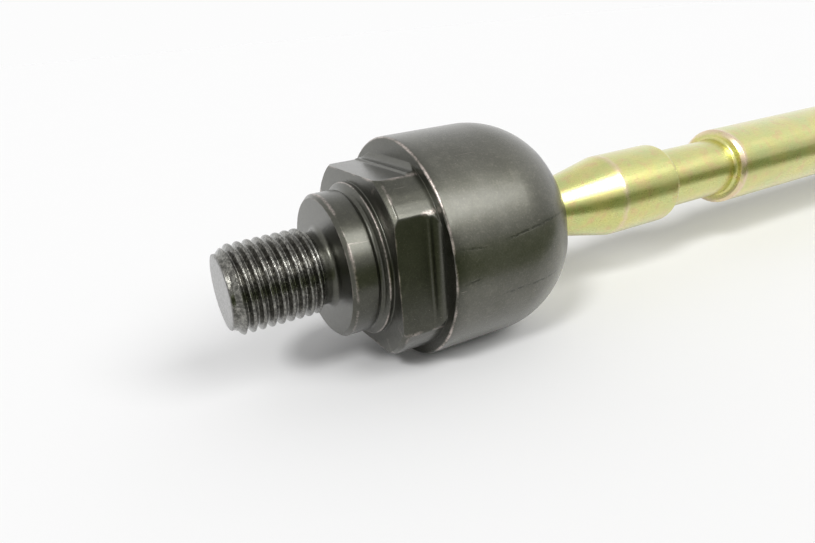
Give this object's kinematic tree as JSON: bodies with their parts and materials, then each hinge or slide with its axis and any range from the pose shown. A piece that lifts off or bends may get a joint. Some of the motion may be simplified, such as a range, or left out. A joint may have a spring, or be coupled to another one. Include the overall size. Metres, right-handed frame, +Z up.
{
  "type": "inner tie rod end",
  "caption": "Axial ball joint for a steering rack: dark forged socket with threaded stud, collar and four wrench flats, on a yellow plated rod with a boot groove and a threaded outer end.",
  "frame": {"origin": "on the joint's axis, at the inner end of the rack stud's thread, 3 mm in front of the shoulder", "axes": "+X along the axis from the rack stud to the rod's outer end, +Z up, wrench flats square to Y and Z"},
  "size_m": [0.3, 0.037, 0.037],
  "materials": {
    "phosphated_steel": "satin black phosphate, oiled",
    "yellow_zinc_steel": "glossy yellow zinc dichromate",
    "nut_zinc_steel": "yellow zinc dichromate",
    "seat_acetal": "moulded acetal, natural white",
    "spring_steel": "blued spring steel",
    "washer_steel": "bright ground steel",
    "lithium_grease": "amber lithium grease"
  },
  "bodies": {
    "socket": {"housing": "phosphated_steel", "front_ball_seat": "seat_acetal", "preload_disc_spring": "spring_steel", "thrust_washer": "washer_steel"},
    "rear_seat": {"rear_ball_seat": "seat_acetal"},
    "grease_film": {"ball_grease": "lithium_grease"},
    "rod": {"tie_rod": "yellow_zinc_steel"},
    "nut": {"jam_nut": "nut_zinc_steel"}
  },
  "joints": [
    {"name": "swing_direction", "type": "hinge", "parent": "socket", "child": "rear_seat", "pos_m": [0.0295, 0, 0], "axis": [1, 0, 0], "continuous": true},
    {"name": "ball_swing", "type": "hinge", "parent": "rear_seat", "child": "grease_film", "pos_m": [0.0295, 0, 0], "axis": [0, 0, 1], "range_deg": [0, 25]},
    {"name": "rod_spin", "type": "hinge", "parent": "grease_film", "child": "rod", "pos_m": [0.0295, 0, 0], "axis": [1, 0, 0], "continuous": true},
    {"name": "jam_nut_travel", "type": "slide", "parent": "rod", "child": "nut", "axis": [1, 0, 0], "range_m": [-0.008, 0.041]}
  ]
}
